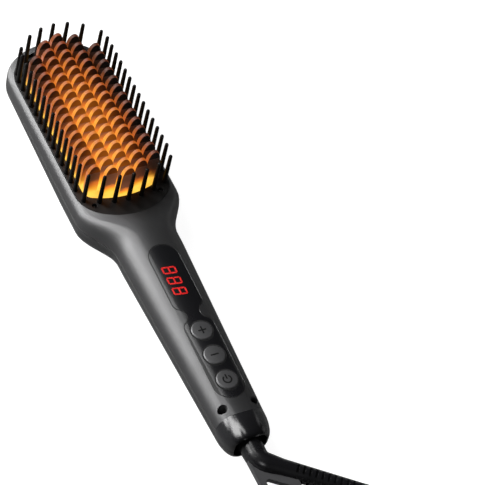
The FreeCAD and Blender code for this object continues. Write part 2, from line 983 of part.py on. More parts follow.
def cap_block(start, end, inset):
    return stacked([cap_ring(y, inset, cavity_steps) for y in (start, end)])


def end_cap():
    # A tapered cup over the end of the grip, with a bell mouth round the cord boot.
    body = stacked([cap_ring(grip_end - cap_length * share, cap_lip_shrink * shrink, round_steps)
                    for share, shrink in zip(cap_along_shares, cap_shrink_shares)])
    pocket = cap_block(cap_inside, grip_end + overrun, casing_wall)
    spigot_inset = casing_wall + cap_spigot_clearance
    spigot_end = grip_end + cap_spigot_length
    spigot = cap_block(cap_inside, spigot_end, spigot_inset)
    spigot = spigot.cut(cap_block(cap_inside, spigot_end + overrun, spigot_inset + cap_spigot_wall))
    barrel = tube(cap_barrel_diameter, cap_inside, grip_end, round_sides)
    mouth = tube(cap_mouth_diameter, cap_end - overrun, mouth_floor, mouth_sides)
    bore = core_diameter + 2 * core_clearance
    bore_length = grip_end - mouth_floor + 2 * overrun
    hole = rod(bore, bore_length, 0, mouth_floor - overrun, axis_height, along)
    return body.cut(pocket).fuse([spigot, barrel]).cut([mouth, hole])


def swivel_core():
    length = core_flange_start + core_length - core_start
    spindle = rod(core_diameter, length, 0, core_start, axis_height, along)
    flange_end = core_flange_start + core_flange_thickness
    flange = tube(core_flange_diameter, core_flange_start, flange_end, round_sides)
    return spindle.fuse(flange)


def ring_start(step):
    first = core_flange_start + core_flange_thickness + slip_ring_start
    return first + step * (slip_ring_width + slip_ring_gap)


def slip_rings():
    rings = []
    touching = core_diameter / math.cos(math.pi / round_sides)
    for step in range(slip_ring_count):
        start = ring_start(step)
        end = start + slip_ring_width
        outer = tube(slip_ring_diameter, start, end, round_sides)
        rings.append(outer.cut(tube(touching, start, end, round_sides)))
    return Part.Compound(rings)


def contact_carrier():
    half = carrier_width / 2
    start = ring_start(0)
    end = ring_start(1) + slip_ring_width
    return box(-half, start, 0, half, end, carrier_top).common(rear_cavity())


def contact_springs():
    springs = []
    for step, side in ((0, 1), (1, -1)):
        near = side * (slip_ring_diameter / 2 + contact_gap)
        far = near + side * contact_thickness
        start = ring_start(step) + (slip_ring_width - contact_width) / 2
        top = axis_height + contact_foot
        blade = box(min(near, far), start, carrier_top, max(near, far), start + contact_width, top)
        foot_end = near - side * contact_foot
        foot_top = carrier_top + contact_thickness
        end = start + contact_width
        foot = box(min(far, foot_end), start, carrier_top, max(far, foot_end), end, foot_top)
        springs.append(blade.fuse(foot))
    return Part.Compound(springs)


def along_boot(distance):
    return sleeve_start + boot_way * distance


def boot_body():
    # A root in the cap's mouth, an elbow, a shoulder and a long tapering sleeve.
    rings = [ring_at(V(0, root_start, axis_height), -along, boot_root_diameter, round_sides)]
    for step in range(elbow_steps + 1):
        turn = bend_angle * step / elbow_steps
        x = boot_bend_radius * (1 - math.cos(turn))
        centre = V(x, bend_start - boot_bend_radius * math.sin(turn), axis_height)
        rings.append(ring_at(centre, V(math.sin(turn), -math.cos(turn), 0), boot_bend_diameter, round_sides))
    rings.append(ring_at(along_boot(boot_shoulder_length), boot_way, boot_sleeve_diameter, round_sides))
    boot_tip = along_boot(boot_shoulder_length + boot_length)
    rings.append(ring_at(boot_tip, boot_way, boot_tip_diameter, round_sides))
    return stacked(rings)


def cord_boot(body):
    bore_start = along_boot(boot_shoulder_length + boot_length - cord_bore_length)
    bore = Part.makeCylinder(cord_bore_diameter / 2, cord_bore_length + overrun, bore_start, boot_way)
    socket = rod(core_diameter, core_socket, 0, core_start, axis_height, along)
    return body.cut([bore, socket] + boot_slots())


def boot_slots():
    # Short slots round the sleeve at each step along it, with webs between them, clear of the bore.
    slots = []
    floor = cord_bore_diameter / 2 + slot_floor
    half = slot_length / 2
    for step in range(slot_count):
        start = along_boot(boot_shoulder_length + slot_first + slot_pitch * step - slot_width / 2)
        place = FreeCAD.Placement(start, FreeCAD.Rotation(along, boot_way))
        for turn in range(slots_around):
            slot = box(-half, 0, floor, half, slot_width, boot_bend_diameter)
            slot.rotate(V(0, 0, 0), along, slot_turn_degrees * turn)
            slot.Placement = place.multiply(slot.Placement)
            slots.append(slot)
    return slots


def hang_loop(body):
    # A flat eye in the plane of the elbow, seated against the boot's outer side.
    bottom = bend_start - loop_drop
    slant = boot_way.y / boot_way.x
    right_top = sleeve_start.y + (loop_right - sleeve_start.x) * slant
    outer = [V(-loop_left, bend_start, 0), V(-loop_left, bottom, 0), V(loop_right, bottom, 0),
             V(loop_right, right_top, 0), V(sleeve_start.x, sleeve_start.y, 0), V(0, bend_start, 0)]
    plate = prism(polygon(outer), axis_height - loop_thickness / 2, axis_height + loop_thickness / 2)
    drop = (boot_bend_diameter / 2 + loop_bar) / boot_way.x
    left = loop_leg - loop_left
    right = loop_right - loop_bar
    window = [V(left, bottom + loop_bar, 0), V(right, bottom + loop_bar, 0),
              V(right, sleeve_start.y + (right - sleeve_start.x) * slant - drop, 0),
              V(left, sleeve_start.y + (left - sleeve_start.x) * slant - drop, 0)]
    eye = prism(polygon(window), 0, 2 * axis_height)
    upright = [edge for edge in eye.Edges if edge.BoundBox.ZLength > loop_thickness]
    eye = eye.makeFillet(eye_corner, upright)
    corners = [edge for edge in plate.Edges
               if edge.BoundBox.ZLength > loop_thickness / 2 and edge.BoundBox.YMax < bottom + overrun]
    plate = plate.makeFillet(loop_corner, corners)
    return plate.cut([eye, body])


def lead(points):
    # A wire of straight runs with mitred turns.
    ring = polygon(corners_round(lead_diameter, lead_sides, 0))
    ring.Placement = FreeCAD.Placement(points[0], FreeCAD.Rotation(up, points[1] - points[0]))
    mitred = 1
    return Part.makePolygon(points).makePipeShell([ring], True, False, mitred)


def heater_leads():
    leads = []
    gap = lead_diameter / 2 + part_gap
    under_board_level = board_bottom - gap
    for x, y in heater_places():
        leads.append(lead([
            V(x, board_end - lead_run, under_board_level),
            V(x, board_end + lead_run, under_board_level - lead_sag),
            V(x, board_end + lead_rise_run, under_board_level),
            V(x, heater_start - part_gap, comb_underside - gap),
        ]))
    return Part.Compound(leads)


def mains_leads():
    leads = []
    gap = lead_diameter / 2 + part_gap
    start = ring_start(slip_ring_count - 1) + slip_ring_width
    levels = (carrier_top + gap, carrier_top + gap, board_bottom - gap, board_bottom - gap)
    for side in (-1, 1):
        x = side * mains_lead_spread
        leads.append(lead([V(x, start + lead_run * step, z) for step, z in enumerate(levels)]))
    return Part.Compound(leads)


def save(name, shape):
    shape.exportStep("parts/" + name + ".step")
    print(name, shape.isValid(), len(shape.Solids), round(shape.Volume))


def main():
    front = front_body()
    blade, blade_cap = split_tooth()
    boot = boot_body()
    save("front_shell", front_shell(front))
    save("rear_shell", rear_shell(rear_body()))
    save("control_panel", control_panel(front))
    save("bristle_frame", bristle_frame())
    save("guard_pins", guard_pins())
    save("heated_comb", heated_comb())
    save("comb_teeth", Part.Compound(copies(blade, tooth_places())))
    save("tooth_caps", Part.Compound(copies(blade_cap, tooth_places())))
    save("ceramic_heaters", ceramic_heaters())
    save("heater_springs", heater_springs())
    save("heat_shield", heat_shield())
    save("shield_screws", shield_screws())
    save("thermistor", thermistor())
    save("thermal_fuse", thermal_fuse())
    save("ion_generator", ion_generator())
    save("ion_needles", ion_needles())
    save("main_board", main_board())
    save("board_screws", board_screws())
    save("display_module", display_module())
    save("switch_bodies", switch_bodies())
    save("film_capacitor", film_capacitor())
    save("triac", triac())
    for name, y in zip(button_names, button_places()):
        save(name + "_button", button(y))
        save(name + "_plunger", plunger(y))
    save("casing_screws", casing_screws())
    save("end_cap", end_cap())
    save("swivel_core", swivel_core())
    save("slip_rings", slip_rings())
    save("contact_carrier", contact_carrier())
    save("contact_springs", contact_springs())
    save("cord_boot", cord_boot(boot))
    save("hang_loop", hang_loop(boot))
    save("heater_leads", heater_leads())
    save("mains_leads", mains_leads())


main()
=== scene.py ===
import math
import bmesh
import bpy
from mathutils import Matrix, Vector


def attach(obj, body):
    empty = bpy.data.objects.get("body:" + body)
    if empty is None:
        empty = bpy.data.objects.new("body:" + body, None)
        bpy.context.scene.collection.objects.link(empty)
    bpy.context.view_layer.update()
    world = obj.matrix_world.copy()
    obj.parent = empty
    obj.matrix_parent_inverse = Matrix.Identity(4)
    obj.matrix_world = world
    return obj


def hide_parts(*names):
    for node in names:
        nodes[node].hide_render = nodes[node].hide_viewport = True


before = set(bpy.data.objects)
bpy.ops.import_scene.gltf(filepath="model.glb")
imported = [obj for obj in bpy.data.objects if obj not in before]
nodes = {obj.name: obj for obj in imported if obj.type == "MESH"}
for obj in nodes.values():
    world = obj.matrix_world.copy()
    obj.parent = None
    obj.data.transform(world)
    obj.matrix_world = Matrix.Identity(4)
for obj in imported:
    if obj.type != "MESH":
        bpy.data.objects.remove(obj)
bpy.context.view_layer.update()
mm = 0.001
print("frame loaded:", len(nodes), "nodes")


# places on the brush, in millimetres, as the solids have them
brush = {
    "gripEnd": -152.0, "gripTop": -38.0, "parting": 13.0, "gripEndRise": 12.0, "gripTopRise": 16.5,
    "buttonSpots": {"power": -131.0, "minus": -114.5, "plus": -98.0}, "buttonRise": 0.6,
    "displayY": -61.6, "face": 24.0, "combTop": 23.2, "toothSplit": 39.8, "toothTop": 44.8,
}
# tolerances of the mesh work, in millimetres and then degrees
near = {
    "joined": 0.004, "level": 0.01, "cut": 0.001, "flat": 0.4, "hard": 32.0, "corner": 40.0, "crease": 50.0,
}


def mixed(low, high, share):
    return low + (high - low) * share


def at(x, y, z):
    # a place given in millimetres
    return Matrix.Translation(Vector((x, y, z)) * mm)


def scaled(width, length, height):
    return Matrix.Diagonal((width * mm, length * mm, height * mm, 1))


def gripFace(y):
    share = (y - brush["gripEnd"]) / (brush["gripTop"] - brush["gripEnd"])
    return brush["parting"] + mixed(brush["gripEndRise"], brush["gripTopRise"], share)


gripSlope = math.atan((brush["gripTopRise"] - brush["gripEndRise"]) / (brush["gripTop"] - brush["gripEnd"]))


def onGrip(x, y, lift):
    # a place lying on the grip's sloping front face
    return at(x, y, gripFace(y) + lift) @ Matrix.Rotation(gripSlope, 4, "X")


# shared shader effects

floatKind, colourKind, vectorKind = "NodeSocketFloat", "NodeSocketColor", "NodeSocketVector"
# a Mix node's colour sockets by number, because its other kinds go by the same names
mixFirst, mixSecond, mixResult = 6, 7, 2
noiseMiddle = 0.5


def feed(tree, node, sources):
    # links what is a socket and sets what is a value
    for key, source in sources.items():
        if isinstance(source, bpy.types.NodeSocket):
            tree.links.new(source, node.inputs[key])
        else:
            node.inputs[key].default_value = source


def addNode(tree, kind, sources=None, **settings):
    node = tree.nodes.new("ShaderNode" + kind)
    for key, value in settings.items():
        setattr(node, key, value)
    feed(tree, node, sources or {})
    return node


def addMath(tree, operation, *sources):
    return addNode(tree, "Math", dict(enumerate(sources)), operation=operation).outputs[0]


def addRange(tree, value, fromMin, fromMax, toMin, toMax):
    sources = {"Value": value, "From Min": fromMin, "From Max": fromMax, "To Min": toMin, "To Max": toMax}
    return addNode(tree, "MapRange", sources).outputs["Result"]


def addRamp(tree, share, stops):
    ramp = addNode(tree, "ValToRGB", {"Fac": share})
    elements = ramp.color_ramp.elements
    elements[0].position, elements[1].position = stops[0][0], stops[-1][0]
    elements[0].color, elements[1].color = (*stops[0][1], 1), (*stops[-1][1], 1)
    for place, colour in stops[1:-1]:
        elements.new(place).color = (*colour, 1)
    return ramp.outputs["Color"]


def addGroup(tree, group, sources):
    return addNode(tree, "Group", sources, node_tree=group).outputs


def newGroup(name, inputs, outputs):
    # a node group with its named sockets, the outputs of its start and its end node
    tree = bpy.data.node_groups.new(name, "ShaderNodeTree")
    for way, sockets in (("INPUT", inputs), ("OUTPUT", outputs)):
        for label, kind in sockets.items():
            tree.interface.new_socket(label, in_out=way, socket_type=kind)
    return tree, tree.nodes.new("NodeGroupInput").outputs, tree.nodes.new("NodeGroupOutput")


def newMaterial(name):
    material = bpy.data.materials.new(name)
    material.use_nodes = True
    tree = material.node_tree
    return material, tree, tree.nodes["Principled BSDF"]


def makeMouldedSkin():
    # fine spark-eroded grain with a slow drift of tone and roughness
    tree, start, end = newGroup(
        "mouldedSkin",
        {"Vector": vectorKind, "Colour": colourKind, "Drift Colour": colourKind, "Grain Scale": floatKind,
         "Drift Scale": floatKind, "Rough": floatKind, "Rough Spread": floatKind},
        {"Colour": colourKind, "Roughness": floatKind, "Height": floatKind})
    grain = addNode(tree, "TexNoise", {
        "Vector": start["Vector"], "Scale": start["Grain Scale"], "Detail": 3.0, "Roughness": 0.6})
    drift = addNode(tree, "TexNoise", {
        "Vector": start["Vector"], "Scale": start["Drift Scale"], "Detail": 4.0, "Roughness": 0.55,
        "Distortion": 0.3}).outputs["Fac"]
    blend = addNode(tree, "Mix", {
        "Factor": drift, mixFirst: start["Colour"], mixSecond: start["Drift Colour"]}, data_type="RGBA")
    away = addMath(tree, "SUBTRACT", drift, noiseMiddle)
    rough = addMath(tree, "MULTIPLY_ADD", away, start["Rough Spread"], start["Rough"])
    feed(tree, end, {"Colour": blend.outputs[mixResult], "Roughness": rough, "Height": grain.outputs["Fac"]})
    return tree


def makeCrownLean():
    # leans a surface's normal outwards, so a nearly flat moulding shades as a full crown
    spans = {axis + label: floatKind for axis in "XYZ" for label in (" Slope", " Width", " Middle")}
    tree, start, end = newGroup(
        "crownLean", {"Vector": vectorKind, "Normal": vectorKind, **spans}, {"Normal": vectorKind})
    split = addNode(tree, "SeparateXYZ", {0: start["Vector"]})
    tilts = {}
    for axis in "XYZ":
        width = start[axis + " Width"]
        away = addMath(tree, "SUBTRACT", split.outputs[axis], start[axis + " Middle"])
        square = addMath(tree, "MULTIPLY_ADD", away, away, addMath(tree, "MULTIPLY", width, width))
        share = addMath(tree, "DIVIDE", away, addMath(tree, "SQRT", square))
        tilts[axis] = addMath(tree, "MULTIPLY", share, start[axis + " Slope"])
    lean = addNode(tree, "CombineXYZ", tilts)
    total = addNode(tree, "VectorMath", {0: start["Normal"], 1: lean.outputs[0]}, operation="ADD")
    even = addNode(tree, "VectorMath", {0: total.outputs[0]}, operation="NORMALIZE")
    feed(tree, end, {"Normal": even.outputs[0]})
    return tree


mouldedSkin = makeMouldedSkin()
crownLean = makeCrownLean()
# what a finish has where it states nothing else
plain = {
    "driftScale": 60.0, "spread": 0.12, "bump": 0.1, "metal": 0.0, "coat": 0.0, "coatRough": 0.1,
    "specular": 0.5,
}
# the depth of the grain, in millimetres
grainDepth = 0.05
# slope, width and middle of a crown's lean along each axis, the last two in millimetres
casingCrown = {"X": (0.9, 11.0, 0.0), "Z": (1.2, 8.0, 14.0)}
capCrown = {"X": (1.3, 10.0, 0.0), "Y": (0.45, 5.0, -180.0), "Z": (0.8, 8.0, 12.5)}


def addCrown(tree, coords, crown):
    surface = addNode(tree, "NewGeometry")
    sources = {"Vector": coords, "Normal": surface.outputs["Normal"]}
    for axis, (slope, width, middle) in crown.items():
        sources.update({axis + " Slope": slope, axis + " Width": width * mm, axis + " Middle": middle * mm})
    return addGroup(tree, crownLean, sources)["Normal"]


def skinMaterial(name, look):
    # one moulded, cast or pressed finish: the shared skin with its own values, and a fine bump
    look = {**plain, **look}
    material, tree, shader = newMaterial(name)
    coords = addNode(tree, "TexCoord").outputs["Object"]
    skin = addGroup(tree, mouldedSkin, {
        "Vector": coords, "Colour": (*look["colour"], 1), "Drift Colour": (*look["drift"], 1),
        "Grain Scale": look["grain"], "Drift Scale": look["driftScale"], "Rough": look["rough"],
        "Rough Spread": look["spread"]})
    bump = addNode(tree, "Bump", {
        "Height": skin["Height"], "Strength": look["bump"], "Distance": grainDepth * mm})
    if "crown" in look:
        feed(tree, bump, {"Normal": addCrown(tree, coords, look["crown"])})
    feed(tree, shader, {
        "Base Color": skin["Colour"], "Roughness": skin["Roughness"], "Normal": bump.outputs["Normal"],
        "Metallic": look["metal"], "Coat Weight": look["coat"], "Coat Roughness": look["coatRough"],
        "Specular IOR Level": look["specular"]})
    return material


finishes = {
    "gunmetalSatin": {
        "colour": (0.03, 0.03, 0.031), "drift": (0.038, 0.038, 0.039), "grain": 3000.0, "rough": 0.4,
        "metal": 0.3, "bump": 0.12, "crown": casingCrown},
    "floorBlack": {
        "colour": (0.006, 0.006, 0.006), "drift": (0.01, 0.01, 0.01), "grain": 2200.0, "rough": 0.45,
        "bump": 0.2},
    "pinBlack": {
        "colour": (0.004, 0.004, 0.004), "drift": (0.007, 0.006, 0.006), "grain": 2600.0, "rough": 0.5,
        "bump": 0.1, "specular": 0.1},
    "smokedGloss": {
        "colour": (0.005, 0.005, 0.006), "drift": (0.007, 0.007, 0.008), "grain": 900.0, "rough": 0.28,
        "spread": 0.05, "bump": 0.01, "specular": 0.42, "crown": casingCrown},
    "keyGrey": {
        "colour": (0.052, 0.052, 0.054), "drift": (0.064, 0.064, 0.066), "grain": 3500.0, "rough": 0.42,
        "bump": 0.12, "metal": 0.2, "crown": casingCrown},
    "pianoBlack": {
        "colour": (0.006, 0.006, 0.007), "drift": (0.009, 0.009, 0.01), "grain": 900.0, "rough": 0.2,
        "spread": 0.02, "bump": 0.01, "coat": 0.2, "coatRough": 0.12, "specular": 0.3,
        "crown": capCrown},
    "bootRubber": {
        "colour": (0.004, 0.004, 0.005), "drift": (0.007, 0.007, 0.008), "grain": 1800.0, "rough": 0.26,
        "bump": 0.15, "coat": 0.1, "coatRough": 0.2},
    # the boot's black rubber made grey on the loop: painted reflection on its flat face
    "loopPaintedSheen": {
        "colour": (0.035, 0.035, 0.037), "drift": (0.05, 0.05, 0.052), "grain": 1800.0, "rough": 0.5,
        "bump": 0.2},
    "screwSteel": {
        "colour": (0.16, 0.16, 0.165), "drift": (0.22, 0.22, 0.225), "grain": 1500.0, "rough": 0.38,
        "metal": 1.0, "bump": 0.1},
    "shieldAluminium": {
        "colour": (0.6, 0.61, 0.63), "drift": (0.72, 0.73, 0.75), "grain": 700.0, "rough": 0.38,
        "metal": 1.0, "bump": 0.2},
    "contactBrass": {
        "colour": (0.62, 0.42, 0.16), "drift": (0.74, 0.54, 0.26), "grain": 1200.0, "rough": 0.3,
        "metal": 1.0},
    "heaterCeramic": {
        "colour": (0.72, 0.7, 0.66), "drift": (0.8, 0.78, 0.74), "grain": 1800.0, "rough": 0.6,
        "bump": 0.3},
    "boardGreen": {
        "colour": (0.015, 0.11, 0.05), "drift": (0.03, 0.16, 0.08), "grain": 500.0, "driftScale": 220.0,
        "rough": 0.35, "coat": 0.3},
    "blackNylon": {
        "colour": (0.012, 0.012, 0.013), "drift": (0.02, 0.02, 0.021), "grain": 1600.0, "rough": 0.5,
        "bump": 0.2},
    "filmYellow": {
        "colour": (0.5, 0.32, 0.05), "drift": (0.6, 0.4, 0.08), "grain": 900.0, "rough": 0.4},
    "innerWhite": {
        "colour": (0.62, 0.62, 0.6), "drift": (0.7, 0.7, 0.68), "grain": 1500.0, "rough": 0.5,
        "bump": 0.15},
    "leadRed": {
        "colour": (0.35, 0.03, 0.025), "drift": (0.42, 0.05, 0.04), "grain": 900.0, "rough": 0.45},
    "signInk": {
        "colour": (0.002, 0.002, 0.002), "drift": (0.004, 0.004, 0.004), "grain": 3000.0, "rough": 0.55,
        "specular": 0.2},
    # near black put in grooves, gaps and recesses: painted shade
    "paintedShadeBlack": {
        "colour": (0.004, 0.004, 0.004), "drift": (0.007, 0.007, 0.007), "grain": 2000.0, "rough": 0.7},
}
skins = {name: skinMaterial(name, look) for name, look in finishes.items()}
# the CAD nodes that stay as they are, by the finish they take
wearers = {
    "blackNylon": ("plus_plunger", "minus_plunger", "power_plunger", "triac", "contact_carrier",
                   "ion_needles"),
    "screwSteel": ("board_screws", "shield_screws", "heater_springs", "switch_bodies", "thermal_fuse"),
    "shieldAluminium": ("heat_shield",),
    "contactBrass": ("slip_rings", "contact_springs"),
    "heaterCeramic": ("ceramic_heaters",),
    "boardGreen": ("main_board",),
    "filmYellow": ("film_capacitor",),
    "innerWhite": ("swivel_core", "thermistor", "ion_generator"),
    "leadRed": ("heater_leads", "mains_leads"),
    "smokedGloss": ("display_module",),
}


def dress(name, material):
    node = nodes[name]
    node.data.materials.clear()
    node.data.materials.append(material)


for skinName, names in wearers.items():
    for nodeName in names:
        dress(nodeName, skins[skinName])
print("skins made:", len(skins))


# the heated comb: ceramic-coated casting, with a painted glow rising from its plate, given as emission
# though the comb is no lamp
# the painted glow's places and reaches in millimetres, then its shares, then its strength and colours
glow = {
    "low": 22.8, "high": 44.8, "rowStart": 5.0, "rowEnd": 20.0, "shortReach": 13.0, "longReach": 36.0,
    "heart": (-5.0, 40.0), "spread": (21.0, 66.0), "sway": 6.0,
    "outer": 1.3, "least": 0.05, "plateReach": 0.45, "plateEven": 0.9, "plateFar": 3.0, "plateLeast": 0.45,
    "faceFall": 2.5, "rimFacing": 0.45, "faceFacing": 0.8,
    "strength": 1.15, "flicker": 160.0,
    "glowLevels": [(0.0, (0.06, 0.03, 0.02)), (0.35, (0.42, 0.22, 0.17)), (0.7, (0.78, 0.58, 0.46)),
                (1.0, (1.02, 0.94, 0.82))],
}
# each coat's own look, and its painted glow from the plate up to the tip, on faces and along rims
coats = {
    "combCoatAndGlow": {
        "look": {"colour": (0.11, 0.062, 0.048), "drift": (0.15, 0.088, 0.07), "grain": 2500.0,
                 "rough": 0.42, "bump": 0.15, "specular": 0.2},
        "face": [(0.0, (1.0, 0.66, 0.1)), (0.16, (1.0, 0.5, 0.04)), (0.3, (0.8, 0.22, 0.03)),
                 (0.46, (0.14, 0.05, 0.03)), (1.0, (0.08, 0.03, 0.016))],
        "rim": [(0.0, (1.0, 0.66, 0.1)), (0.35, (1.0, 0.45, 0.04)), (0.7, (0.92, 0.34, 0.04)),
                (1.0, (0.8, 0.27, 0.04))],
    },
    "tipCoatAndGlow": {
        "look": {"colour": (0.012, 0.01, 0.009), "drift": (0.02, 0.016, 0.014), "grain": 2600.0,
                 "rough": 0.6, "bump": 0.15, "specular": 0.2},
        "face": [(0.0, (0.24, 0.065, 0.004)), (0.8, (0.2, 0.05, 0.003)), (1.0, (0.08, 0.018, 0.001))],
        "rim": [(0.0, (1.0, 0.48, 0.06)), (0.85, (0.95, 0.4, 0.05)), (1.0, (0.6, 0.18, 0.02))],
    },
}


def makePaintedGlowShares():
    # how far up its painted glow a point lies, on a tooth's broad faces and along its rim
    tree, start, end = newGroup("paintedGlowShares", {"Vector": vectorKind}, {"Face": floatKind, "Rim": floatKind})
    split = addNode(tree, "SeparateXYZ", {0: start["Vector"]}).outputs
    flicker = addNode(tree, "TexNoise", {"Vector": start["Vector"], "Scale": glow["flicker"], "Detail": 3.0})
    swing = glow["sway"] * mm
    sway = addMath(tree, "MULTIPLY_ADD", flicker.outputs["Fac"], swing, -swing / 2)
    above = addMath(tree, "SUBTRACT", addMath(tree, "ADD", split["Z"], sway), glow["low"] * mm)
    reach = addRange(tree, split["Y"], glow["rowStart"] * mm, glow["rowEnd"] * mm,
                     glow["shortReach"] * mm, glow["longReach"] * mm)
    face = addMath(tree, "DIVIDE", above, reach)
    rim = addMath(tree, "DIVIDE", above, (glow["high"] - glow["low"]) * mm)
    feed(tree, end, {"Face": face, "Rim": rim})
    return tree


def addHeartDistance(tree, vector):
    # squared distance from the glow's heart, in shares of its spread; along Y only the far side counts
    split = addNode(tree, "SeparateXYZ", {0: vector})
    squares = []
    for axis, middle, spread in zip("XY", glow["heart"], glow["spread"]):
        sources = {0: split.outputs[axis], 1: 1 / (spread * mm), 2: -middle / spread}
        away = addNode(tree, "Math", sources, operation="MULTIPLY_ADD", use_clamp=axis == "Y").outputs[0]
        squares.append(addMath(tree, "MULTIPLY", away, away))
    return addMath(tree, "ADD", *squares)


def makePaintedGlow():
    # painted glow: face and rim colours joined, brightest in the middle of the comb and fading to its sides
    # and far end
    tree, start, end = newGroup(
        "paintedGlow",
        {"Vector": vectorKind, "Normal": vectorKind, "Rim": floatKind, "Face Colour": colourKind,
         "Rim Colour": colourKind},
        {"Colour": colourKind})
    away = addHeartDistance(tree, start["Vector"])
    heart = addRange(tree, away, 0.0, glow["outer"], 1.0, glow["least"])
    # near the plate the glow reaches further out
    hold = addRange(tree, start["Rim"], 0.0, glow["plateReach"], 1.0, 0.0)
    plate = addRange(tree, away, glow["plateEven"], glow["plateFar"], 1.0, glow["plateLeast"])
    kept = addMath(tree, "MAXIMUM", addMath(tree, "MULTIPLY", hold, plate), heart)
    glowLevel = addRamp(tree, kept, glow["glowLevels"])
    # away from the heart the painted glow on the broad faces falls off upwards
    rise = addMath(tree, "MULTIPLY", start["Rim"], glow["faceFall"])
    fall = addMath(tree, "POWER", heart, rise)
    face = addNode(tree, "VectorMath", {0: start["Face Colour"], "Scale": fall}, operation="SCALE")
    # rims take the rim colour and broad faces the darker face colour, by which way they turn: painted light
    # and shade
    front = addMath(tree, "ABSOLUTE", addNode(tree, "SeparateXYZ", {0: start["Normal"]}).outputs["Y"])
    rim = addRange(tree, front, glow["rimFacing"], glow["faceFacing"], 1.0, 0.0)
    blend = addNode(tree, "Mix", {
        "Factor": rim, mixFirst: face.outputs[0], mixSecond: start["Rim Colour"]}, data_type="RGBA")
    lit = addNode(tree, "VectorMath", {0: blend.outputs[mixResult], 1: glowLevel}, operation="MULTIPLY")
    feed(tree, end, {"Colour": lit.outputs[0]})
    return tree


paintedGlowShares = makePaintedGlowShares()
paintedGlow = makePaintedGlow()


def makeCoatWithPaintedGlow(name, coat):
    material = skinMaterial(name, coat["look"])
    tree = material.node_tree
    coords = addNode(tree, "TexCoord").outputs["Object"]
    surface = addNode(tree, "NewGeometry")
    shares = addGroup(tree, paintedGlowShares, {"Vector": coords})
    lit = addGroup(tree, paintedGlow, {
        "Vector": coords, "Normal": surface.outputs["Normal"], "Rim": shares["Rim"],
        "Face Colour": addRamp(tree, shares["Face"], coat["face"]),
        "Rim Colour": addRamp(tree, shares["Rim"], coat["rim"])})
    # the painted glow goes in as emission, though the comb is no lamp
    feed(tree, tree.nodes["Principled BSDF"], {
        "Emission Color": lit["Colour"], "Emission Strength": glow["strength"]})
    return material


for coatName, coat in coats.items():
    skins[coatName] = makeCoatWithPaintedGlow(coatName, coat)
dress("heated_comb", skins["combCoatAndGlow"])
print("comb coated")


# pieces: refined copies of the solids and small parts added in mesh

def meshData(name, mesh, material):
    data = bpy.data.meshes.new(name)
    mesh.to_mesh(data)
    mesh.free()
    data.materials.append(material)
    return data


def addObject(name, data):
    made = bpy.data.objects.new(name, data)
    bpy.context.scene.collection.objects.link(made)
    return made


def newPiece(name, mesh, material, body, replaced=(), crease=near["hard"]):
    for face in mesh.faces:
        face.smooth = True
    for edge in mesh.edges:
        edge.smooth = edge.calc_face_angle(math.pi) < math.radians(crease)
    piece = addObject(name, meshData(name, mesh, material))
    weighted = piece.modifiers.new("evenShading", "WEIGHTED_NORMAL")
    weighted.keep_sharp = True
    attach(piece, body)
    if replaced:
        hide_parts(*replaced)
    return piece


def joinedCopy(nodeName):
    # a CAD node's mesh with its loose triangles joined
    mesh = bmesh.new()
    mesh.from_mesh(nodes[nodeName].data)
    bmesh.ops.remove_doubles(mesh, verts=mesh.verts, dist=near["joined"] * mm)
    return mesh


def wholeCopy(nodeName):
    # a joined copy with its flats made whole
    mesh = joinedCopy(nodeName)
    bmesh.ops.dissolve_limit(mesh, angle_limit=math.radians(near["flat"]), use_dissolve_boundaries=False,
                             verts=mesh.verts, edges=mesh.edges)
    return mesh


def openEdges(mesh):
    return [edge for edge in mesh.edges if edge.is_boundary]


def sharpEdges(mesh, angle):
    return [edge for edge in mesh.edges if edge.calc_face_angle(0) > math.radians(angle)]


def isLevel(edge, *heights):
    # whether each end of an edge lies at one of these heights
    misses = [min(abs(vert.co.z - height * mm) for height in heights) for vert in edge.verts]
    return max(misses) < near["level"] * mm


def bevel(mesh, parts, width, segments=2, affect="EDGES"):
    bmesh.ops.bevel(mesh, geom=parts, offset=width * mm, offset_type="OFFSET", affect=affect,
                    segments=segments, profile=0.5, material=-1)


def cutMesh(mesh, place, way, keepAhead):
    # parts a mesh at a plane and keeps one side of it
    bmesh.ops.bisect_plane(mesh, geom=mesh.verts[:] + mesh.edges[:] + mesh.faces[:], dist=near["cut"] * mm,
                           plane_co=place.translation, plane_no=way, clear_inner=keepAhead,
                           clear_outer=not keepAhead)


# where the rear screw posts break through the flank, in millimetres
rearPosts = {"aside": 11.0, "high": 3.2, "from": -149.0, "to": -144.0, "floor": 2.4, "flank": 10.62}
# each piece's CAD node, its looks, its edge rounding and what else is done to it
refined = {
    "frontCasing": {
        "node": "front_shell", "finish": "gunmetalSatin", "body": "brush", "slot": "casing",
        "round": 0.12, "seam": 0.3, "sharp": 50.0, "gapShade": "paintedShadeBlack"},
    "rearCasing": {
        "node": "rear_shell", "finish": "gunmetalSatin", "body": "brush", "slot": "casing",
        "round": 0.12, "seam": 0.3, "sharp": 50.0, "gapShade": "paintedShadeBlack", "posts": rearPosts},
    "bristleFloor": {
        "node": "bristle_frame", "finish": "floorBlack", "body": "brush", "slot": "frame",
        "round": 0.25},
    "panelWindow": {
        "node": "control_panel", "finish": "smokedGloss", "body": "brush", "slot": "panel",
        "round": 0.45, "gapShade": "paintedShadeBlack"},
    "cordSleeve": {
        "node": "cord_boot", "finish": "bootRubber", "body": "cord_outlet", "slot": "boot",
        "round": 0.14},
    "hangingEye": {
        "node": "hang_loop", "finish": "loopPaintedSheen", "body": "cord_outlet", "slot": "loop", "round": 0.12,
        "sharp": 50.0, "endsAt": -175.2},
}
for key in brush["buttonSpots"]:
    refined[key + "Cap"] = {
        "node": key + "_button", "finish": "keyGrey", "body": key + "_key", "slot": "buttons", "round": 0.16}
# a panel face that leans past this share of upright lies in the shadow gap round the panel, and takes
# painted shade
sideLean = 0.97


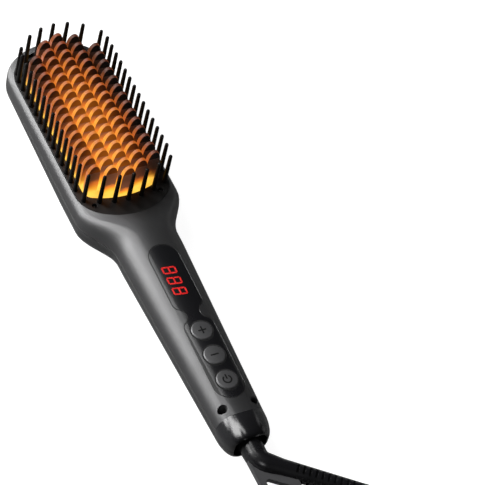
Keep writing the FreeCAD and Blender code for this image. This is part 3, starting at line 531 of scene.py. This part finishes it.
def flushPosts(mesh, posts):
    # cuts the posts off level with the flank and closes it
    nubs = []
    for face in mesh.faces:
        x, y, z = face.calc_center_median() / mm
        if abs(x) > posts["aside"] and z < posts["high"] and posts["from"] < y < posts["to"]:
            nubs.append(face)
    bmesh.ops.delete(mesh, geom=nubs, context="FACES")
    rims = openEdges(mesh)
    for vert in {vert for edge in rims for vert in edge.verts}:
        if vert.co.z < (posts["floor"] + near["level"]) * mm:
            vert.co.x = math.copysign(min(abs(vert.co.x), posts["flank"] * mm), vert.co.x)
    bmesh.ops.holes_fill(mesh, edges=rims, sides=0)


def paintGapShade(piece, plan):
    # paints shade onto the casing's groove along the parting, or onto the panel's sides
    piece.data.materials.append(skins[plan["gapShade"]])
    for polygon in piece.data.polygons:
        if "seam" in plan:
            dark = abs(polygon.center.z - brush["parting"] * mm) < plan["seam"] * mm
        else:
            dark = polygon.normal.z < sideLean
        polygon.material_index = int(dark)


def makeRefined(name, plan):
    mesh = wholeCopy(plan["node"])
    if "posts" in plan:
        flushPosts(mesh, plan["posts"])
    if "endsAt" in plan:
        cutMesh(mesh, at(0, plan["endsAt"], 0), (0, 1, 0), False)
        bmesh.ops.holes_fill(mesh, edges=openEdges(mesh), sides=0)
    if "seam" in plan:
        rims = [edge for edge in sharpEdges(mesh, near["corner"]) if isLevel(edge, brush["parting"])]
        bevel(mesh, rims, plan["seam"], segments=1)
    bevel(mesh, sharpEdges(mesh, plan.get("sharp", near["hard"])), plan["round"])
    mesh.normal_update()
    piece = newPiece(name, mesh, skins[plan["finish"]], plan["body"], (plan["node"],))
    if "gapShade" in plan:
        paintGapShade(piece, plan)


for pieceName, plan in refined.items():
    makeRefined(pieceName, plan)
print("casing, panel and boot refined:", len(refined))


def addSection(mesh, width, height, place):
    # a rectangle standing on the X axis of a place
    upright = place @ Matrix.Rotation(math.radians(90), 4, "X") @ scaled(width, height, 1)
    verts = bmesh.ops.create_grid(mesh, x_segments=1, y_segments=1, size=0.5, matrix=upright)["verts"]
    return verts, verts[0].link_faces[0]


def spin(mesh, parts, place, angle, steps):
    # sweeps parts about the Z axis of a place, and joins a whole turn to its start
    bmesh.ops.spin(mesh, geom=parts, cent=place.translation, axis=place.col[2].xyz, angle=angle, steps=steps,
                   use_merge=angle == math.tau)


# early and late bend the lip's curve, the steps are counts and the rest is in millimetres
cordCap = {
    "width": 29.0, "height": 25.0, "corner": 10.6, "cornerSteps": 12, "length": 14.0, "steps": 10,
    "lip": 4.4, "early": 2.2, "late": 0.6, "rim": 0.5, "edge": 0.3, "mouth": 4.5, "floor": 2.6,
}


def makeCordCap():
    # the grip's end section inset step by step into a rounded lip, a mouth and a bore
    mesh = bmesh.new()
    addSection(mesh, cordCap["width"], cordCap["height"], at(0, brush["gripEnd"], cordCap["height"] / 2))
    bevel(mesh, mesh.verts[:], cordCap["corner"], cordCap["cornerSteps"], "VERTICES")
    mesh.faces.ensure_lookup_table()
    end = mesh.faces[0]
    # how far in and how far along each step lies
    stations = [(0.0, 0.0)]
    for step in range(1, cordCap["steps"] + 1):
        share = math.sin(step / cordCap["steps"] * math.pi / 2)
        inset = cordCap["lip"] * (1 - (1 - share ** cordCap["early"]) ** cordCap["late"])
        stations.append((inset, cordCap["length"] * share))
    rim, soft = cordCap["lip"] + cordCap["rim"], cordCap["edge"]
    depth = cordCap["length"] - cordCap["mouth"]
    stations += [(rim, cordCap["length"]), (rim + soft, cordCap["length"] - soft), (rim + soft, depth),
                 (rim + cordCap["floor"], depth), (rim + cordCap["floor"], 0.0)]
    for (inset, along), (nextInset, nextAlong) in zip(stations, stations[1:]):
        bmesh.ops.inset_region(mesh, faces=[end], thickness=(nextInset - inset) * mm,
                               depth=(nextAlong - along) * mm, use_boundary=True, use_even_offset=True)
    bmesh.ops.delete(mesh, geom=[end], context="FACES_ONLY")
    bmesh.ops.bridge_loops(mesh, edges=openEdges(mesh))
    bmesh.ops.recalc_face_normals(mesh, faces=mesh.faces)
    newPiece("cordCap", mesh, skins["pianoBlack"], "brush", ("end_cap",), near["crease"])


makeCordCap()
print("cap drawn")


def islandCentres(nodeName):
    # the middle of each separate solid in a node, at the height of its top
    mesh = joinedCopy(nodeName)
    left = set(mesh.verts)
    centres = []
    while left:
        front = [left.pop()]
        island = []
        while front:
            vert = front.pop()
            island.append(vert.co.copy())
            for edge in vert.link_edges:
                other = edge.other_vert(vert)
                if other in left:
                    left.discard(other)
                    front.append(other)
        low = Vector([min(point[axis] for point in island) for axis in range(3)])
        high = Vector([max(point[axis] for point in island) for axis in range(3)])
        centres.append(Vector(((low.x + high.x) / 2, (low.y + high.y) / 2, high.z)))
    mesh.free()
    return sorted(centres, key=lambda centre: (round(centre.y, 5), centre.x))


def setOut(single, centres):
    # one finished form repeated at each place
    data = bpy.data.meshes.new("pattern")
    single.to_mesh(data)
    single.free()
    mesh = bmesh.new()
    for centre in centres:
        known = len(mesh.verts)
        mesh.from_mesh(data)
        mesh.verts.ensure_lookup_table()
        bmesh.ops.translate(mesh, verts=mesh.verts[known:], vec=(centre.x, centre.y, 0))
    bpy.data.meshes.remove(data)
    return mesh


# radius and height of the pin's outline: the foot over the floor, the tip over the pin's length
pin = {
    "length": 22.5, "sides": 12, "foot": [(0, 0), (1.6, 0), (1.6, 0.35), (1.5, 0.7), (1.35, 1.1)],
    "tip": [(1.1, -1.0), (0.95, -0.45), (0.55, -0.1), (0, 0)],
}


def makePins():
    single = bmesh.new()
    outline = [(radius, brush["face"] + rise) for radius, rise in pin["foot"]]
    outline += [(radius, brush["face"] + pin["length"] + rise) for radius, rise in pin["tip"]]
    points = [single.verts.new(Vector((radius, 0, height)) * mm) for radius, height in outline]
    edges = [single.edges.new(pair) for pair in zip(points, points[1:])]
    spin(single, points + edges, Matrix.Identity(4), math.tau, pin["sides"])
    bmesh.ops.remove_doubles(single, verts=single.verts, dist=near["level"] * mm)
    bmesh.ops.recalc_face_normals(single, faces=single.faces)
    mesh = setOut(single, islandCentres("guard_pins"))
    newPiece("guardPins", mesh, skins["pinBlack"], "brush", ("guard_pins",), near["crease"])


makePins()
print("guard pins set")

# the shoulder is the share of half the width that its rounding takes
tooth = {
    "width": 7.8, "foot": 3.1, "neck": 2.9, "tip": 2.3, "archRise": 8.0, "archSteps": 6, "shoulder": 0.985,
    "edge": 0.35,
}


def shapeTooth(keepTop):
    # a block with a rounded head, drawn up into an arch, thinned to its tip and parted at the cap
    half, rise = tooth["width"] / 2, tooth["archRise"]
    spring = brush["toothTop"] - rise
    low, split = brush["combTop"], brush["toothSplit"]
    tall = spring + half - low
    block = at(0, 0, low + tall / 2) @ scaled(tooth["width"], tooth["foot"], tall)
    mesh = bmesh.new()
    bmesh.ops.create_cube(mesh, size=1.0, matrix=block)
    shoulders = [edge for edge in mesh.edges if isLevel(edge, low + tall)
                 and abs(edge.verts[0].co.x - edge.verts[1].co.x) < near["level"] * mm]
    bevel(mesh, shoulders, half * tooth["shoulder"], tooth["archSteps"])
    for vert in mesh.verts:
        if vert.co.z > spring * mm:
            vert.co.z = (spring + (vert.co.z / mm - spring) * rise / half) * mm
    cutMesh(mesh, at(0, 0, split), (0, 0, 1), keepTop)
    bmesh.ops.contextual_create(mesh, geom=openEdges(mesh))
    for vert in mesh.verts:
        z = vert.co.z / mm
        if z < split:
            thick = mixed(tooth["foot"], tooth["neck"], (z - low) / (split - low))
        else:
            thick = mixed(tooth["neck"], tooth["tip"], (z - split) / (brush["toothTop"] - split))
        vert.co.y *= thick / tooth["foot"]
    bmesh.ops.recalc_face_normals(mesh, faces=mesh.faces)
    corners = [edge for edge in sharpEdges(mesh, near["corner"]) if not isLevel(edge, low, split)]
    bevel(mesh, corners, tooth["edge"])
    return mesh


def makeTeeth():
    centres = islandCentres("comb_teeth")
    teeth, tips = setOut(shapeTooth(False), centres), setOut(shapeTooth(True), centres)
    newPiece("combTeeth", teeth, skins["combCoatAndGlow"], "brush", ("comb_teeth",), near["crease"])
    newPiece("toothTips", tips, skins["tipCoatAndGlow"], "brush", ("tooth_caps",), near["crease"])
    return len(centres)


print("teeth set:", makeTeeth())


def addBar(mesh, width, length, height, place, soft):
    # a low bar with each of its edges softened
    made = bmesh.ops.create_cube(mesh, size=1.0, matrix=place @ scaled(width, length, height))
    edges = dict.fromkeys(edge for vert in made["verts"] for edge in vert.link_edges)
    bevel(mesh, list(edges), soft)


def addCross(mesh, reach, bar, height, place, soft):
    # one bar across and a half bar on each side of it
    addBar(mesh, reach, bar, height, place, soft)
    half = (reach - bar) / 2
    for side in (-1, 1):
        addBar(mesh, bar, half, height, place @ at(0, side * (bar + half) / 2, 0), soft)


screwHead = {"cross": 2.6, "bar": 0.7, "height": 0.3, "lift": 0.02, "round": 0.25, "edge": 0.05}


def makeScrews():
    mesh = wholeCopy("casing_screws")
    bevel(mesh, sharpEdges(mesh, near["hard"]), screwHead["round"])
    newPiece("casingScrews", mesh, skins["screwSteel"], "brush", ("casing_screws",))
    # dark crosses laid on the screw heads: painted shade standing in for their cross recesses
    mesh = bmesh.new()
    for centre in islandCentres("casing_screws"):
        place = Matrix.Translation(centre) @ at(0, 0, screwHead["lift"])
        addCross(mesh, screwHead["cross"], screwHead["bar"], screwHead["height"], place, screwHead["edge"])
    newPiece("screwRecessShadows", mesh, skins["paintedShadeBlack"], "brush")


makeScrews()
print("screws set")

digits = {
    "tall": 8.2, "wide": 4.9, "pitch": 7.2, "bar": 0.95, "gap": 0.14, "slant": 0.14, "height": 0.12,
    "lift": 0.02, "edge": 0.05, "count": 3, "aside": -1.0, "along": -1.75,
}
segmentLight = {
    "patches": 900.0, "reds": [(0.35, (0.36, 0.005, 0.005)), (0.7, (0.6, 0.025, 0.022))], "strength": 0.45,
    "rough": 0.3,
}


def makeSegmentLight():
    # red with fine patches of a paler red
    material, tree, shader = newMaterial("litSegments")
    coords = addNode(tree, "TexCoord").outputs["Object"]
    patches = addNode(tree, "TexNoise", {"Vector": coords, "Scale": segmentLight["patches"], "Detail": 2.0})
    red = addRamp(tree, patches.outputs["Fac"], segmentLight["reds"])
    feed(tree, shader, {
        "Base Color": red, "Emission Color": red, "Emission Strength": segmentLight["strength"],
        "Roughness": segmentLight["rough"]})
    return material


def makeDigits():
    bar, gap = digits["bar"], digits["gap"]
    run = (digits["tall"] - bar) / 2
    across = digits["wide"] - bar
    # middle and size of each segment: three across the digit, four along it
    segments = [(level * run, 0, bar, across - 2 * gap) for level in (-1, 0, 1)]
    for side in (-1, 1):
        segments += [(half * run / 2, side * across / 2, run - 2 * gap, bar) for half in (-1, 1)]
    shear = Matrix.Identity(4)
    shear[1][0] = -digits["slant"]
    mesh = bmesh.new()
    for index in range(digits["count"]):
        y = brush["displayY"] + digits["along"] + (index - (digits["count"] - 1) / 2) * digits["pitch"]
        base = onGrip(digits["aside"], y, digits["lift"]) @ shear
        for x, along, width, length in segments:
            addBar(mesh, width, length, digits["height"], base @ at(x, along, 0), digits["edge"])
    newPiece("litDigits", mesh, makeSegmentLight(), "brush")


makeDigits()
print("digits lit")

gaps = {"inner": 6.15, "outer": 6.6, "height": 0.06, "steps": 40}


def makeGapShadows():
    # painted shadow in the gap round each button: a flat dark ring spun from its small section
    width, middle = gaps["outer"] - gaps["inner"], (gaps["outer"] + gaps["inner"]) / 2
    mesh = bmesh.new()
    for y in brush["buttonSpots"].values():
        place = onGrip(0, y, 0)
        verts, face = addSection(mesh, width, gaps["height"], place @ at(middle, 0, 0))
        edges = list(face.edges)
        bmesh.ops.delete(mesh, geom=[face], context="FACES_ONLY")
        spin(mesh, verts + edges, place, math.tau, gaps["steps"])
    bmesh.ops.recalc_face_normals(mesh, faces=mesh.faces)
    newPiece("buttonGapShadows", mesh, skins["paintedShadeBlack"], "brush")


makeGapShadows()
print("button gaps drawn")

# the stem's length and place are shares of the ring's radius, and the ring's opening is in degrees
signs = {
    "reach": 4.8, "bar": 0.85, "height": 0.1, "rise": 0.02, "ring": 2.3, "open": 70.0, "steps": 28,
    "stem": 1.3, "stemAt": 0.75, "edge": 0.03,
}


def addPowerSign(mesh, base):
    # an open ring and a stem through its opening
    radius, bar, height = signs["ring"], signs["bar"], signs["height"]
    start = Matrix.Rotation(math.radians(90 + signs["open"] / 2), 4, "Z")
    verts, face = addSection(mesh, bar, height, base @ start @ at(radius, 0, 0))
    spin(mesh, verts + list(face.edges) + [face], base, math.radians(360 - signs["open"]), signs["steps"])
    stem = base @ at(0, radius * signs["stemAt"], 0)
    addBar(mesh, bar, radius * signs["stem"], height, stem, signs["edge"])
    bmesh.ops.recalc_face_normals(mesh, faces=mesh.faces)


def makeSigns():
    reach, bar, height = signs["reach"], signs["bar"], signs["height"]
    for name, y in brush["buttonSpots"].items():
        base = at(0, y, gripFace(y) + brush["buttonRise"] + signs["rise"])
        mesh = bmesh.new()
        if name == "minus":
            addBar(mesh, reach, bar, height, base, signs["edge"])
        elif name == "plus":
            addCross(mesh, reach, bar, height, base, signs["edge"])
        else:
            addPowerSign(mesh, base)
        newPiece(name + "Sign", mesh, skins["signInk"], name + "_key")


makeSigns()
print("signs set")


# stage, light and camera, in metres apart from the floor's drop in millimetres

stage = {"half": 6.0, "drop": 0.5, "pale": (0.25, 0.25, 0.25), "rough": 0.9, "seen": 0.95, "world": 0.03}
white = (1, 1, 1, 1)


def makeStage():
    # a grey floor that looks white to the camera alone
    mesh = bmesh.new()
    level = at(0, 0, -stage["drop"])
    bmesh.ops.create_grid(mesh, x_segments=2, y_segments=2, size=stage["half"], matrix=level)
    material, tree, shader = newMaterial("paleFloor")
    path = addNode(tree, "LightPath")
    seen = addMath(tree, "MULTIPLY", path.outputs["Is Camera Ray"], stage["seen"])
    feed(tree, shader, {
        "Base Color": (*stage["pale"], 1), "Roughness": stage["rough"], "Specular IOR Level": 0.0,
        "Emission Color": white, "Emission Strength": seen})
    floor = addObject("floor", meshData("floor", mesh, material))


lamps = {
    "overLeft": {"place": (-1.0, 0.8, 0.78), "aim": (0, -0.03, 0.02), "size": (0.7, 0.8), "power": 36.0},
    "highLeft": {"place": (-0.5, 0.8, 1.25), "aim": (0, 0.06, 0.02), "size": (0.35, 0.8), "power": 11.0},
    "lowLeft": {"place": (-0.75, 0.95, 0.14), "aim": (0, 0.1, 0.02), "size": (0.6, 0.2), "power": 9.0},
    "keyLeft": {"place": (-1.2, -1.0, 1.3), "aim": (0, -0.02, 0.02), "size": (0.5, 0.5), "power": 4.0},
    "rimRight": {"place": (1.3, 0.75, 0.15), "aim": (0, -0.02, 0.02), "size": (0.2, 0.5), "power": 0.25},
    "fillRight": {"place": (1.6, -0.7, 0.7), "aim": (0, -0.02, 0.02), "size": (0.8, 0.8), "power": 3.5},
}


def makeLight():
    for name, lamp in lamps.items():
        data = bpy.data.lights.new(name, "AREA")
        data.shape = "RECTANGLE"
        data.size, data.size_y = lamp["size"]
        data.energy = lamp["power"]
        light = addObject(name, data)
        place = Vector(lamp["place"])
        light.location = place
        light.rotation_euler = (Vector(lamp["aim"]) - place).to_track_quat("-Z", "Y").to_euler()
    world = bpy.data.worlds.new("studio")
    world.use_nodes = True
    feed(world.node_tree, world.node_tree.nodes["Background"], {"Color": white, "Strength": stage["world"]})
    bpy.context.scene.world = world
    bpy.context.scene.view_settings.view_transform = "Standard"


# the photograph's camera: its place and axes, its focal length and picture height in pixels
view = {
    "place": (-0.4913, -0.7213, 1.0549),
    "right": (0.8865, -0.4231, 0.1874), "up": (0.2304, 0.7548, 0.6142), "back": (-0.4014, -0.5013, 0.7666),
    "focalPixels": 2397.5, "framePixels": 485.0, "sensor": 36.0, "nearest": 0.05,
}


def makeCamera():
    data = bpy.data.cameras.new("camera")
    data.sensor_fit = "VERTICAL"
    data.sensor_height = view["sensor"]
    data.lens = view["focalPixels"] * view["sensor"] / view["framePixels"]
    data.clip_start = view["nearest"]
    camera = addObject("camera", data)
    turn = Matrix((view["right"], view["up"], view["back"])).transposed().to_4x4()
    camera.matrix_world = Matrix.Translation(Vector(view["place"])) @ turn
    bpy.context.scene.camera = camera


makeStage()
makeLight()
makeCamera()
print("stage, light and camera set")
